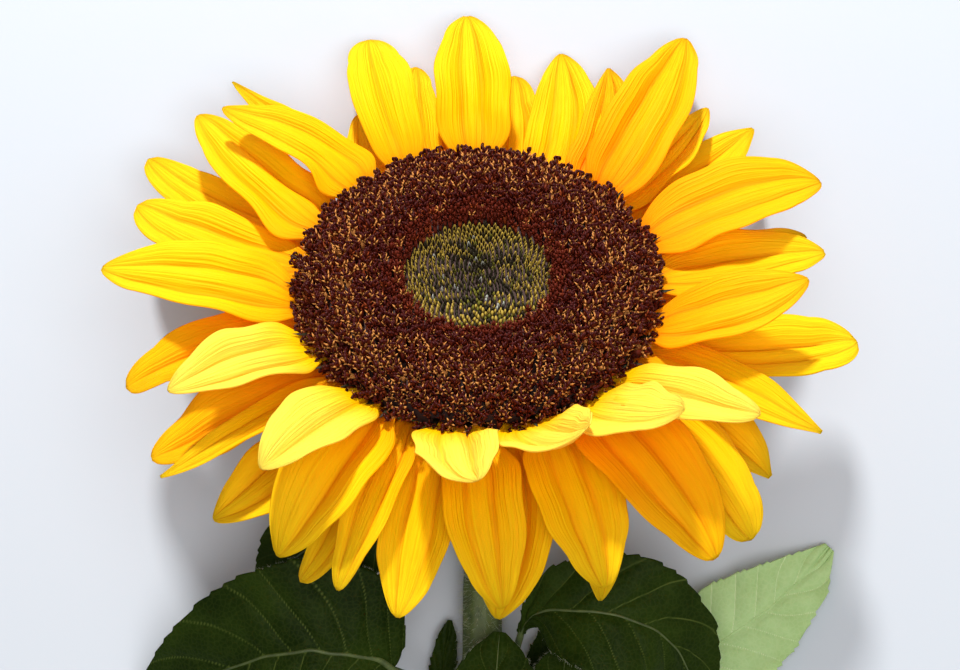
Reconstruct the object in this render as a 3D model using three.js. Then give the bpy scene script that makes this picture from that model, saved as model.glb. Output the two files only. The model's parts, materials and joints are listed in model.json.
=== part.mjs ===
// A cut sunflower lying on its back: one large flower head, its neck and stem, and the upper leaves.
// Millimetres, +Z up, +Y along the stem towards the head. The stem and the outer leaves rest on the ground,
// and the head leans back on its upper ray florets, so that its face looks up and towards +Y.
import * as THREE from "three";

// ---- driving dimensions ----
const HEAD_HEIGHT = 76; // centre of the flower face above the ground
const FACE_TILT = 41; // degrees between the face's axis and the vertical
const DISC_RADIUS = 61; // bed of tube florets
const RAY_SEAT_RADIUS = 61.6; // where the ray florets leave the disc's edge
const HEAD_DEPTH = 26; // receptacle behind the face
const STEM_RADIUS = 7.4; // where the neck meets it
const STEM_CUT_RADIUS = 8.5; // at the cut end
const STEM_CUT_Y = -248; // how far the cut end is from the face's centre, along the stem
const STEM_AXIS_X = 1.5; // the stem lies a little to the right of the head
const STEM_REST_Y = -104; // where the neck has come down to the stem's lying height
const RAY_THICKNESS = 0.8;
const LEAF_THICKNESS = 1.0;

const UP = new THREE.Vector3(0, 0, 1);
const radians = THREE.MathUtils.degToRad;
const tilt = radians(FACE_TILT);

// Axes of the flower head: across the face, up the face (away from the stem) and out of the face.
const ACROSS = new THREE.Vector3(1, 0, 0);
const UP_FACE = new THREE.Vector3(0, Math.cos(tilt), -Math.sin(tilt));
const FACE_AXIS = new THREE.Vector3(0, Math.sin(tilt), Math.cos(tilt));
const HEAD_CENTRE = new THREE.Vector3(0, 0, HEAD_HEIGHT);

// ---- finishes ----
const finish = (color, roughness) => new THREE.MeshStandardMaterial({ color, roughness, metalness: 0 });
const RAY_YELLOW = finish(0xf6bf0c, 0.55);
const FLORET_BROWN = finish(0x2c0d08, 0.8);
const BUD_GREEN = finish(0x6a6a22, 0.7);
const BRACT_GREEN = finish(0x4d7a2c, 0.7);
const STEM_GREEN = finish(0x6f8a3e, 0.7);
const LEAF_GREEN = finish(0x3c6a26, 0.6);

const flower = new THREE.Group();

function addPart(name, geometry, material) {
  const mesh = new THREE.Mesh(geometry, material);
  mesh.name = name;
  flower.add(mesh);
  return mesh;
}

// A closed solid through a row of rings that all have the same number of points, with flat ends.
function loft(rings) {
  const count = rings[0].length;
  const positions = rings.flat().flatMap((point) => point.toArray());
  const faces = [];
  for (let ring = 0; ring < rings.length - 1; ring += 1) {
    for (let i = 0; i < count; i += 1) {
      const a = ring * count + i;
      const b = ring * count + ((i + 1) % count);
      faces.push(a, b, b + count, a, b + count, a + count);
    }
  }
  const last = (rings.length - 1) * count;
  for (let i = 1; i < count - 1; i += 1) {
    faces.push(0, i + 1, i, last, last + i, last + i + 1);
  }
  const geometry = new THREE.BufferGeometry();
  geometry.setAttribute("position", new THREE.Float32BufferAttribute(positions, 3));
  geometry.setIndex(faces);
  geometry.computeVertexNormals();
  return geometry;
}

// ---- thin blades: ray florets and leaves ----

// One cross-section of a blade: over the face from one edge to the other, and back along its underside.
function bladeRing(centre, side, normal, halfWidth, cup, thickness, across) {
  const top = [];
  const under = [];
  for (let i = 0; i <= across; i += 1) {
    const v = (2 * i) / across - 1;
    const middle = centre
      .clone()
      .addScaledVector(side, v * halfWidth)
      .addScaledVector(normal, cup * v * v);
    const half = (thickness / 2) * (1 - 0.4 * v * v);
    top.push(middle.clone().addScaledVector(normal, half));
    under.unshift(middle.clone().addScaledVector(normal, -half));
  }
  return [...top, ...under];
}

// Sweeps a blade along a curve, from foot to tip, its face towards faceAxis. outline gives the share of the
// half width at each point of the curve and cup is how high the edges stand above the middle.
function blade({ curve, stations, faceAxis, halfWidth, outline, cup, thickness, across }) {
  const rings = stations.map((t) => {
    const tangent = curve.getTangentAt(t);
    const side = new THREE.Vector3().crossVectors(tangent, faceAxis).normalize();
    const normal = new THREE.Vector3().crossVectors(side, tangent);
    const share = outline(t);
    const lift = cup * share * Math.min(1, 3 * t);
    return bladeRing(curve.getPointAt(t), side, normal, halfWidth * share, lift, thickness, across);
  });
  return loft(rings);
}

// ---- ray florets ----

// The whorls overlap, front to back: each has its own seat height behind the face and its own first rise off
// the face, in degrees.
const WHORLS = [
  { seat: -1.0, rise: 34 },
  { seat: -3.2, rise: 14 },
  { seat: -5.4, rise: 0 },
  { seat: -7.6, rise: -14 },
];

// Each ray: its whorl, the clock angle of its foot and of its tip in degrees counter-clockwise from +X, how far
// its tip is from the face's axis, how far the tip is in front of the face (behind it if negative), its width,
// how many degrees it first leans to the left of straight outwards, and where along its length it is widest.
const RAYS = [
  [1, 7, 9, 126, 0, 26, 0, 0.5],
  [2, 14, 17, 125, -10, 18, 0, 0.5],
  [0, 21, 21, 133, 8, 31, 0, 0.55],
  [3, 31, 29, 126, -3, 18, 0, 0.5],
  [2, 36, 40, 133, -6, 22, 0, 0.5],
  [1, 41, 46, 122, 2, 18, 0, 0.55],
  [0, 46, 56, 138, 13, 27, 0, 0.5],
  [1, 54, 66, 120, 4, 19, 0, 0.45],
  [2, 66, 75, 120, 5, 26, 0, 0.5],
  [3, 80, 83, 109, 0, 24, 0, 0.5],
  [0, 91, 92, 126, 16, 27, 0, 0.52],
  [3, 97, 98, 103, -8, 22, 0, 0.5],
  [1, 107, 102, 113, 1, 17, 0, 0.55],
  [0, 114, 109, 126, 9, 24, 0, 0.58],
  [2, 119, 115, 104, -6, 18, 0, 0.5],
  [1, 127, 131, 140, -2, 13, 15, 0.4],
  [0, 131, 142, 118, 16, 20, 0, 0.5],
  [1, 149, 141, 133, 4, 24, 0, 0.5],
  [3, 153, 149, 143, -12, 24, 0, 0.55],
  [2, 166, 161, 130, -3, 28, 0, 0.58],
  [0, 185, 178, 132, 6, 30, 0, 0.5],
  [1, 195, 197, 128, -8, 24, 0, 0.5],
  [0, 206, 209, 118, 12, 25, 0, 0.5],
  [2, 212, 208, 126, -22, 27, 0, 0.55],
  [1, 219, 216, 131, -10, 12, 0, 0.45],
  [3, 227, 221, 119, -30, 25, 0, 0.6],
  [0, 232, 232, 115, 14, 25, 0, 0.52],
  [1, 237, 237, 120, -20, 30, 0, 0.52],
  [3, 243, 238, 110, -44, 17, 0, 0.5],
  [2, 247, 247, 120, -26, 16, 0, 0.5],
  [3, 257, 257, 117, -36, 24, 0, 0.55],
  [0, 263, 270, 102, 20, 27, 0, 0.5],
  [2, 270, 274, 112, -34, 26, 0, 0.5],
  [3, 279, 274, 105, -48, 29, 0, 0.5],
  [0, 284, 292, 98, 34, 30, 0, 0.5],
  [2, 293, 291, 118, -26, 29, 0, 0.5],
  [3, 299, 293, 108, -48, 18, 0, 0.5],
  [0, 303, 311, 103, 28, 28, 0, 0.5],
  [1, 308, 308, 130, -20, 33, 0, 0.5],
  [0, 316, 322, 118, 18, 24, 0, 0.52],
  [2, 321, 317, 127, -30, 26, 0, 0.6],
  [3, 331, 328, 119, -25, 21, 0, 0.6],
  [1, 334, 332, 131, -4, 20, 0, 0.42],
  [2, 341, 354, 134, -10, 28, 0, 0.62],
  [0, 344, 354, 114, 18, 28, -6, 0.55],
  [3, 0, 6, 112, -18, 18, 0, 0.5],
];

// A point of the head from its clock angle, its distance from the axis and its height in front of the face.
function onHead(angle, reach, height) {
  return HEAD_CENTRE.clone()
    .addScaledVector(ACROSS, reach * Math.cos(radians(angle)))
    .addScaledVector(UP_FACE, reach * Math.sin(radians(angle)))
    .addScaledVector(FACE_AXIS, height);
}

// The outline of a ray floret: a narrow claw, a long full blade and a blunt point.
function rayOutline(widest) {
  const skew = Math.log(0.5) / Math.log(widest);
  return (t) => Math.max(0.05, 0.24 * (1 - t) ** 2 + Math.sin(Math.PI * t ** skew) ** 0.75);
}

const RAY_STATIONS = [0, 0.14, 0.32, 0.5, 0.68, 0.86, 1];

function addRay(name, [whorlIndex, footAngle, tipAngle, reach, lift, width, lean, widest]) {
  const whorl = WHORLS[whorlIndex];
  const foot = onHead(footAngle, RAY_SEAT_RADIUS, whorl.seat);
  const tip = onHead(tipAngle, reach, lift);
  const rise = radians(whorl.rise);
  const outwards = onHead(footAngle + lean, 1, 0).sub(HEAD_CENTRE);
  const start = outwards.multiplyScalar(Math.cos(rise)).addScaledVector(FACE_AXIS, Math.sin(rise));
  const bend = foot.clone().addScaledVector(start, foot.distanceTo(tip) * 0.45);
  const curve = new THREE.QuadraticBezierCurve3(foot, bend, tip);
  const geometry = blade({
    curve,
    stations: RAY_STATIONS,
    faceAxis: FACE_AXIS,
    halfWidth: width / 2,
    outline: rayOutline(widest),
    cup: 0.12 * width,
    thickness: RAY_THICKNESS,
    across: 4,
  });
  addPart(name, geometry, RAY_YELLOW);
}

RAYS.forEach((ray, i) => addRay(`ray_${String(i + 1).padStart(2, "0")}`, ray));

// ---- flower head: solids turned about the face's axis ----

const headTurn = new THREE.Matrix4().makeBasis(ACROSS, UP_FACE, FACE_AXIS).setPosition(HEAD_CENTRE);

// profile is a list of [radius, height in front of the face], from the axis round to the axis, back first.
function turned(profile, segments) {
  const points = profile.map(([radius, height]) => new THREE.Vector2(radius, height));
  const geometry = new THREE.LatheGeometry(points, segments);
  geometry.rotateX(Math.PI / 2);
  return geometry.applyMatrix4(headTurn);
}

const BUD_RADIUS = 26; // unopened florets at the centre
const GAP = 0.3;

const seedDisc = [
  [0, -6],
  [DISC_RADIUS - 3, -6],
  [DISC_RADIUS - 0.6, -4],
  [DISC_RADIUS - 0.4, 4],
  [DISC_RADIUS - 8, 9],
  [44, 12],
  [BUD_RADIUS + GAP, 13],
  [BUD_RADIUS + GAP, 7],
  [0, 7],
];
addPart("disc_open_florets", turned(seedDisc, 40), FLORET_BROWN);

const budCentre = [
  [0, 7 + GAP],
  [BUD_RADIUS, 7 + GAP],
  [BUD_RADIUS, 10],
  [18, 11],
  [9, 10.6],
  [0, 10],
];
addPart("disc_closed_buds", turned(budCentre, 24), BUD_GREEN);

// The green back of the head, its rim flared where the bracts stand out behind the rays.
const NECK_TOP_RADIUS = 11;
const receptacle = [
  [0, -HEAD_DEPTH],
  [NECK_TOP_RADIUS + 3, -HEAD_DEPTH],
  [32, -HEAD_DEPTH + 3.5],
  [52, -HEAD_DEPTH + 7],
  [66, -17],
  [71, -15.4],
  [70, -14.4],
  [57, -10.6],
  [57, -6 - GAP],
  [0, -6 - GAP],
];
addPart("receptacle_and_bracts", turned(receptacle, 36), BRACT_GREEN);

// ---- neck and stem ----

// A round, tapering limb along a curve, its radius running evenly from start to end.
function limb(curve, steps, sides, startRadius, endRadius) {
  const rings = [];
  const frames = curve.computeFrenetFrames(steps, false);
  for (let i = 0; i <= steps; i += 1) {
    const t = i / steps;
    const centre = curve.getPointAt(t);
    const radius = startRadius + (endRadius - startRadius) * t;
    const ring = [];
    for (let j = 0; j < sides; j += 1) {
      const angle = (2 * Math.PI * j) / sides;
      ring.push(
        centre
          .clone()
          .addScaledVector(frames.normals[i], radius * Math.cos(angle))
          .addScaledVector(frames.binormals[i], radius * Math.sin(angle)),
      );
    }
    rings.push(ring);
  }
  return loft(rings);
}

const neckTop = HEAD_CENTRE.clone().addScaledVector(FACE_AXIS, -HEAD_DEPTH - GAP);
const neckEnd = new THREE.Vector3(STEM_AXIS_X, STEM_REST_Y, STEM_RADIUS + 1);
const neckReach = 44; // how far the neck runs straight on from the head before it turns down the stem
const neckCurve = new THREE.CubicBezierCurve3(
  neckTop,
  neckTop.clone().addScaledVector(FACE_AXIS, -neckReach),
  neckEnd.clone().add(new THREE.Vector3(0, neckReach, 0)),
  neckEnd,
);
addPart("neck", limb(neckCurve, 10, 12, NECK_TOP_RADIUS, STEM_RADIUS), STEM_GREEN);

const stemTop = neckEnd.clone().add(new THREE.Vector3(0, -GAP, 0));
const stemCut = new THREE.Vector3(STEM_AXIS_X, STEM_CUT_Y, STEM_CUT_RADIUS);
addPart("stem", limb(new THREE.LineCurve3(stemTop, stemCut), 4, 12, STEM_RADIUS, STEM_CUT_RADIUS), STEM_GREEN);

// ---- leaves ----

// The outline of a leaf with its stalk: a thin stalk, then a broad blade, widest at the given share of its
// own length, and a drawn-out tip.
function leafOutline(stalkShare, widest) {
  const stalk = 0.07;
  const skew = Math.log(0.5) / Math.log(widest);
  return (t) => {
    if (t <= stalkShare) return stalk;
    const s = (t - stalkShare) / (1 - stalkShare);
    return Math.max(stalk * (1 - s) + 0.02, Math.sin(Math.PI * s ** skew) ** 0.75);
  };
}

// Each leaf: name, points along its stalk and midrib from the stem to the tip, whole width, share of the
// length that is stalk, where the blade is widest, the direction its face looks and its cup.
const LEAVES = [
  ["leaf_left", [[-9, -151, 10], [-32, -137, 34], [-56, -129, 45], [-83, -134, 38], [-130, -156, 2]],
    68, 0.24, 0.25, [0.1, 0, 1], 4],
  ["leaf_left_rear", [[-10.5, -64, 19], [-34, -80, 30], [-60, -92, 24], [-84, -112, 2]],
    40, 0.2, 0.35, [0, 0, 1], 2],
  ["leaf_right", [[11.4, -142, 12], [15, -129, 20], [20, -117, 37], [45, -115, 48], [70, -126, 40],
    [83, -154, 17]], 46, 0.26, 0.4, [0.1, 0.2, 1], 3],
  ["leaf_right_far", [[10.4, -170, 8], [42, -160, 7], [76, -141, 6], [98, -125, 8], [115, -113, 8],
    [134, -93, 2]], 42, 0.46, 0.3, [0, 0, 1], 2],
  ["leaf_small_left", [[-8.6, -178, 6], [-12.6, -162, 5], [-13.2, -142, 5], [-10.4, -121, 4]],
    10, 0.2, 0.6, [0, 0, 1], 0.5],
  ["leaf_small_front", [[2, -190, 17.5], [4, -168, 28], [6, -147, 33], [8, -123, 26]],
    34, 0.15, 0.55, [0, 0, 1], -3],
  ["leaf_small_right", [[11.8, -200, 12], [21, -178, 20], [29, -156, 23], [33, -128, 15]],
    28, 0.2, 0.6, [0, 0, 1], 1.5],
  ["leaf_small_rear", [[10.6, -148, 4.5], [20, -140, 4], [30, -130, 3], [40, -118, 2]],
    15, 0.2, 0.5, [0, 0, 1], 0.5],
];

const LEAF_STATIONS = [0, 0.1, 0.19, 0.27, 0.35, 0.45, 0.55, 0.65, 0.76, 0.88, 1];

function addLeaf([name, midrib, width, stalkShare, widest, faceAxis, cup]) {
  const curve = new THREE.CatmullRomCurve3(midrib.map(([x, y, z]) => new THREE.Vector3(x, y, z)));
  const geometry = blade({
    curve,
    stations: LEAF_STATIONS,
    faceAxis: new THREE.Vector3(...faceAxis).normalize(),
    halfWidth: width / 2,
    outline: leafOutline(stalkShare, widest),
    cup,
    thickness: LEAF_THICKNESS,
    across: 4,
  });
  addPart(name, geometry, LEAF_GREEN);
}

LEAVES.forEach(addLeaf);

// The frame's origin is under the middle of the whole flower, on the ground.
const bounds = new THREE.Box3().setFromObject(flower, true);
const middle = bounds.getCenter(new THREE.Vector3());
flower.position.set(-middle.x, -middle.y, -bounds.min.z);

export default flower;
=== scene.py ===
"""A cut sunflower lying on its back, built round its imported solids."""

import json
import math
import random

import bmesh
import bpy
import numpy as np
from mathutils import Matrix, Vector

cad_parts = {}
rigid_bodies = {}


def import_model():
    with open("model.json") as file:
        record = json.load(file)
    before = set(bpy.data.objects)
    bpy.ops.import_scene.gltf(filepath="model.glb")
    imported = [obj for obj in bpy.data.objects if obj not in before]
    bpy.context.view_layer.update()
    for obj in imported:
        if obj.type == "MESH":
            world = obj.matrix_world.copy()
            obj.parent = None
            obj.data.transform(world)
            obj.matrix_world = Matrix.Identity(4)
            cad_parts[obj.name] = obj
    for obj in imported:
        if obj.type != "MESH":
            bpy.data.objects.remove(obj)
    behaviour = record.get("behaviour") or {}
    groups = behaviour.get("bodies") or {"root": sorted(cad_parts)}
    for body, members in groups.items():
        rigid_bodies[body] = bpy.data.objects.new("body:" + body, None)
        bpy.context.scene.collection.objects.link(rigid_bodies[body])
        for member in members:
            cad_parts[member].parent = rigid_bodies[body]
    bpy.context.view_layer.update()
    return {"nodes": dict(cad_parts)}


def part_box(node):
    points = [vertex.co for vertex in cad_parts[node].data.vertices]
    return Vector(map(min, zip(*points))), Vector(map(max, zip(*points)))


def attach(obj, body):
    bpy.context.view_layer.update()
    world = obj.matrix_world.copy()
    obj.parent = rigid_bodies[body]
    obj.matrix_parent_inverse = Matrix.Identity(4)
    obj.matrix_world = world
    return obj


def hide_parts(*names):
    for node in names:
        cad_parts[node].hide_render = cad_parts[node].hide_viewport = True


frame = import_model()

# ---- Camera ----
# The camera looks straight down on the flower from a metre above the middle of its face, with the
# stem towards the bottom of the view. The face itself leans back towards the top of the view.
FACE_TILT = math.radians(41)
FACE_AXIS = np.array((0, math.sin(FACE_TILT), math.cos(FACE_TILT)))
UP_FACE = np.array((0, math.cos(FACE_TILT), -math.sin(FACE_TILT)))
ACROSS_FACE = np.array((1.0, 0, 0))
HEAD_CENTRE = np.mean(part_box("disc_open_florets"), axis=0)
CAMERA_FROM_HEAD = Vector((0.0007, -0.0154, 1.0))

camera = bpy.data.objects.new("camera", bpy.data.cameras.new("camera"))
camera.location = Vector(HEAD_CENTRE) + CAMERA_FROM_HEAD
camera.data.sensor_width = 36
camera.data.lens = 107.1
camera.data.clip_end = 20
bpy.context.collection.objects.link(camera)
bpy.context.scene.camera = camera
bpy.context.scene.view_settings.view_transform = "Standard"

# ---- Studio light and floor ----
# One bright softbox stands above the far side and a little to the left, where the face looks, with
# a wide dim one overhead. The floor is plain, matt and pale.
KEY_DIRECTION = Vector((-0.1, 0.93, 0.42)).normalized()
OVERHEAD_DIRECTION = Vector((0.15, -0.1, 1)).normalized()
FLOOR_SIZE = 3  # half its side


def add_softbox(name, direction, distance, width, watts):
    """A round lamp that faces the head from one direction."""
    lamp = bpy.data.lights.new(name, "AREA")
    lamp.shape = "DISK"
    lamp.size = width
    lamp.energy = watts
    softbox = bpy.data.objects.new(name, lamp)
    softbox.location = Vector(HEAD_CENTRE) + direction * distance
    softbox.rotation_euler = direction.to_track_quat("Z", "Y").to_euler()
    bpy.context.collection.objects.link(softbox)


def make_piece(name, shape):
    """Puts a finished shape in the scene as a smooth piece."""
    mesh = bpy.data.meshes.new(name)
    shape.to_mesh(mesh)
    shape.free()
    mesh.shade_smooth()
    piece = bpy.data.objects.new(name, mesh)
    bpy.context.collection.objects.link(piece)
    return piece


def new_finish(name, colour, roughness):
    """A material of one colour. Returns it with its node tree and its shader."""
    material = bpy.data.materials.new(name)
    material.use_nodes = True
    shader = material.node_tree.nodes["Principled BSDF"]
    shader.inputs["Base Color"].default_value = (*colour, 1)
    shader.inputs["Roughness"].default_value = roughness
    return material, material.node_tree, shader


add_softbox("key_light", KEY_DIRECTION, distance=1.6, width=0.14, watts=44)
add_softbox("overhead_light", OVERHEAD_DIRECTION, distance=1.8, width=1.6, watts=25)

studio = bpy.data.worlds.new("studio")
studio.use_nodes = True
backdrop = studio.node_tree.nodes["Background"]
backdrop.inputs["Color"].default_value = (0.95, 0.97, 1.0, 1)
backdrop.inputs["Strength"].default_value = 0.36
bpy.context.scene.world = studio

floor_mesh = bmesh.new()
bmesh.ops.create_grid(floor_mesh, x_segments=1, y_segments=1, size=FLOOR_SIZE)
floor = make_piece("floor", floor_mesh)
floor_paint, _, _ = new_finish("floor_paint", (0.5, 0.53, 0.57), 0.9)
floor.data.materials.append(floor_paint)

# ---- Ray florets ----
# The yellow rays are thin, ribbed blades of petal tissue, joined to the disc's edge by a narrow claw.
# Each is shaped along its own solid: the solid is cut square across at short steps, and a fine
# sheet is drawn through the cuts, then ribbed lengthwise, waved at its edges and given its thickness.
CUT_STEP = 0.0015
MOST_CUTS = 200
CUT_REACH = 0.05  # an outline further than this from the middle of a cut is another part of the blade
FOOT_PART = 0.02  # the length next to the foot that gives a blade its first heading
NARROWEST_CUT = 0.0005  # a narrower one doesn't turn the way across
MIDDLE_PART = 0.3  # of half the width, where a cut's sag is measured
SMOOTH_STEPS = 400
FLOOR_GAP = 0.0005
RAY_ACROSS = 40
RAY_ALONG = 56
RAY_SMOOTHING = 0.05  # of its length
RAY_THICKNESS = 0.0005
CLAW_LENGTH = 0.0026
FINE_RIB = 0.004  # of the ray's width
FOLD_COUNTS = (2, 3, 3, 3)
# The grooves of the rays carry painted shade, a deeper orange, and the ridges a little painted light.
GROOVE_SHADE = 0.16  # how far a groove's deeper colour reaches, of half the width
ARCH_RISE = (0.22, 0.42)  # of the width of one arch between two grooves
EDGE_LIFT = 0.2  # how far past the edges the outer arches would come down, of half the width
ARCH_SINK = 0.22  # how far the arches are let down again, of half the width
CLAW_CUP = 0.2  # how high the edges of the claw stand, of its width
FOOT_SPREAD = 0.34  # how much wider the tissue is just past the claw
SPREAD_PLACE = 0.13  # the share of the length where it is widest
SPREAD_LENGTH = 0.15
WIDE_FOOT = {"ray_17": 0.85, "ray_18": 0.8}
EDGE_UNEVEN = 0.025
TIP_START = 0.78
CURL_START = 0.75
USUAL_ROUNDNESS = (0.2, 0.55)
ROUND_ENDED = [f"ray_{number}" for number in (10, 12, 13, 14, 19, 20, 22, 29, 41, 44)]
DRAWN_OUT = ("ray_08", "ray_16", "ray_25", "ray_42", "ray_43")
# The lemon rays are the front lips, given a lit copy of the petal tissue: painted light, paler where the
# strongest light falls on them.
LIT_LEMON_RAYS = ("ray_23", "ray_27", "ray_32", "ray_35", "ray_38", "ray_40")
# The golden rays are given a shaded copy of the petal tissue: painted shade, deeper and more orange, where
# they lie in shade.
SHADED_GOLDEN_RAYS = ("ray_03", "ray_04", "ray_07", "ray_08", "ray_22", "ray_24", "ray_39", "ray_45", "ray_46")


def solid_corners(node):
    """The corners of a solid, and its edges as pairs of corners."""
    mesh = frame["nodes"][node].data
    corners = np.empty(len(mesh.vertices) * 3)
    mesh.vertices.foreach_get("co", corners)
    edges = np.empty(len(mesh.edges) * 2, dtype=int)
    mesh.edges.foreach_get("vertices", edges)
    return corners.reshape(-1, 3), edges.reshape(-1, 2)


def place_corners(corners, places):
    for corner, place in zip(corners, places):
        corner.co = place


def unit(vector):
    return vector / np.linalg.norm(vector)


def cut_across(corners, edges, place, heading, face_axis, reach):
    """Cuts a thin blade square across at a place, no further than reach from it. Returns the middle of its
    two edges, and the cut: the blade's own middle there, the way to its left edge, the way out of its
    face, and how high its edges stand above its middle. There is no cut past the tip."""
    height = (corners - place) @ heading
    a, b = height[edges[:, 0]], height[edges[:, 1]]
    crossing = (a < 0) != (b < 0)
    if not crossing.any():
        return None
    share = (a[crossing] / (a[crossing] - b[crossing]))[:, None]
    outline = corners[edges[crossing, 0]] * (1 - share) + corners[edges[crossing, 1]] * share
    outline = outline[np.linalg.norm(outline - place, axis=1) < reach]
    if not len(outline):
        return None
    side = unit(np.cross(face_axis, heading))
    for _ in range(2):
        spread = outline @ side
        left, right = outline[spread.argmax()], outline[spread.argmin()]
        if np.linalg.norm(left - right) > NARROWEST_CUT:
            side = unit(left - right)
    normal = np.cross(heading, side)
    middle = (left + right) / 2
    half_width = np.linalg.norm(left - right) / 2
    inner = np.abs((outline - middle) @ side) < MIDDLE_PART * half_width + 0.0001
    sag = ((outline[inner] - middle) @ normal).mean() if inner.any() else 0.0
    return middle, (middle + normal * sag, side * half_width, normal, -sag)


def cut_blade(corners, edges, foot, face_axis):
    """The cuts of a blade from its foot to its tip, feeling the way along the middle of its edges."""
    near = corners[np.linalg.norm(corners - foot, axis=1) < FOOT_PART]
    heading = heading_at_foot = unit(near.mean(axis=0) - foot)
    path = [foot]
    cuts = []
    while len(cuts) < MOST_CUTS:
        place = path[-1] + heading * CUT_STEP
        found = cut_across(corners, edges, place, heading, face_axis, CUT_REACH)
        if found is None:
            break
        path.append(found[0])
        cuts.append(found[1])
        if len(cuts) > 3:
            heading = unit(heading + unit(path[-1] - path[-min(len(cuts), 6)]))
    cuts.insert(0, (foot - heading_at_foot * CLAW_LENGTH, *cuts[0][1:]))
    return [np.array(part) for part in zip(*cuts)]


def even_out(values, count, blur):
    """values at count even places along the blade, smoothed over a share of its length."""
    old = np.linspace(0, 1, len(values))
    new = np.linspace(0, 1, SMOOTH_STEPS)
    columns = values.reshape(len(values), -1)
    reach = max(1, int(blur * SMOOTH_STEPS))
    weights = np.exp(-0.5 * (np.arange(-2 * reach, 2 * reach + 1) / reach) ** 2)
    weights /= weights.sum()
    smooth = []
    for column in columns.T:
        line = np.interp(new, old, column)
        before = 2 * line[0] - line[1 : 2 * reach + 1][::-1]
        after = 2 * line[-1] - line[-2 * reach - 1 : -1][::-1]
        line = np.convolve(np.concatenate([before, line, after]), weights, "valid")
        smooth.append(np.interp(np.linspace(0, 1, count), new, line))
    return np.array(smooth).T.reshape((count,) + values.shape[1:])


def blade_sheet(name, cuts, across, along, blur, relief, outline):
    """A fine sheet through the cuts of one blade. relief(t, v, width, length) is how far it stands out
    of the smooth blade, t from foot to tip and v from the right edge to the left one, and outline is a
    factor on its width. Its UV map runs over the same t and v."""
    spine, reach, normal, cup = (even_out(part, along + 1, blur) for part in cuts)
    length = np.linalg.norm(np.diff(spine, axis=0), axis=1).sum()
    sheet = bmesh.new()
    sheet.loops.layers.uv.new("blade")
    bmesh.ops.create_grid(sheet, x_segments=across, y_segments=along, size=1, calc_uvs=True)
    flat = np.array([vertex.co for vertex in sheet.verts])
    v, t = flat[:, 0], (flat[:, 1] + 1) / 2
    row = np.rint(t * along).astype(int)
    width = 2 * np.linalg.norm(reach, axis=1)[row]
    edge = v * outline(t, v, width, length)
    out = cup[row] * v**2 + relief(t, v, width, length)
    places = spine[row] + reach[row] * edge[:, None] + normal[row] * out[:, None]
    places[:, 2] = np.maximum(places[:, 2], FLOOR_GAP)
    place_corners(sheet.verts, places)
    return make_piece(name, sheet)


def give_thickness(piece, thickness):
    wall = piece.modifiers.new("thickness", "SOLIDIFY")
    wall.thickness = thickness
    wall.offset = 0


def add_node(tree, kind, inputs=(), **settings):
    """A shader node with its settings. Each input is a number, a colour or another node's output."""
    node = tree.nodes.new("ShaderNode" + kind)
    for name, value in settings.items():
        setattr(node, name, value)
    for socket, value in dict(inputs).items():
        if isinstance(value, bpy.types.NodeSocket):
            tree.links.new(value, node.inputs[socket])
        else:
            node.inputs[socket].default_value = value
    return node


def add_ramp(tree, factor, stops):
    """A colour ramp. stops are (place, colour) pairs."""
    ramp = add_node(tree, "ValToRGB", {"Fac": factor})
    while len(ramp.color_ramp.elements) < len(stops):
        ramp.color_ramp.elements.new(0.5)
    for element, (place, colour) in zip(ramp.color_ramp.elements, stops):
        element.position = place
        element.color = (*colour, 1)
    return ramp.outputs["Color"]


def long_noise(tree, uv, stretch, scale):
    """Noise drawn out along a blade."""
    place = add_node(tree, "Mapping", {"Vector": uv, "Scale": stretch}).outputs["Vector"]
    return add_node(tree, "TexNoise", {"Vector": place, "Scale": scale, "Detail": 3.0}).outputs["Fac"]


def add_tissue(tree, shader, relief, strength, depth, glow, glow_share):
    """Gives a blade's shader its fine relief, and mixes in a share of light that shines through."""
    bump = add_node(tree, "Bump", {"Height": relief, "Strength": strength, "Distance": depth})
    tree.links.new(bump.outputs["Normal"], shader.inputs["Normal"])
    through = add_node(tree, "BsdfTranslucent", {"Color": (*glow, 1)}).outputs["BSDF"]
    mix = add_node(tree, "MixShader", {0: glow_share, 1: shader.outputs["BSDF"], 2: through})
    tree.links.new(mix.outputs["Shader"], tree.nodes["Material Output"].inputs["Surface"])


def petal_finish(name, foot, middle, tip, groove_shade_colour):
    """Petal tissue: coloured along its length, with painted shade deeper in the grooves and a little
    painted light on the ridges, finely streaked and veined, and it lets an orange light through."""
    material, tree, shader = new_finish(name, middle, 0.6)
    shader.inputs["Specular IOR Level"].default_value = 0.08
    uv = add_node(tree, "UVMap", uv_map="blade").outputs["UV"]
    along = add_node(tree, "SeparateXYZ", {"Vector": uv}).outputs["Y"]
    past_foot = (1.0, middle[1] * 0.8, 0.0)
    colour = add_ramp(tree, along, [(0.0, foot), (0.12, past_foot), (0.4, middle), (1.0, tip)])
    painted_groove_shade_mask = add_node(tree, "Attribute", attribute_name="painted_groove_shade_mask").outputs["Fac"]
    painted_groove_shade = add_ramp(tree, painted_groove_shade_mask, [(0.0, groove_shade_colour), (0.5, (1.0, 0.96, 1.0)), (1.0, (1.0, 1.03, 1.0))])
    streaks = long_noise(tree, uv, (14, 0.8, 1), 1.6)
    streak_tint = add_ramp(tree, streaks, [(0.36, (0.98, 0.87, 1.0)), (0.6, (1.0, 1.0, 1.0))])
    for tint in (painted_groove_shade, streak_tint):
        parts = {"Factor": 1.0, "A": colour, "B": tint}
        colour = add_node(tree, "Mix", parts, data_type="RGBA", blend_type="MULTIPLY").outputs["Result"]
    tree.links.new(colour, shader.inputs["Base Color"])
    veins = long_noise(tree, uv, (26, 1.1, 1), 1.3)
    add_tissue(tree, shader, veins, 0.9, 0.0012, (1.0, 0.52, 0.0), 0.42)
    return material


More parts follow.
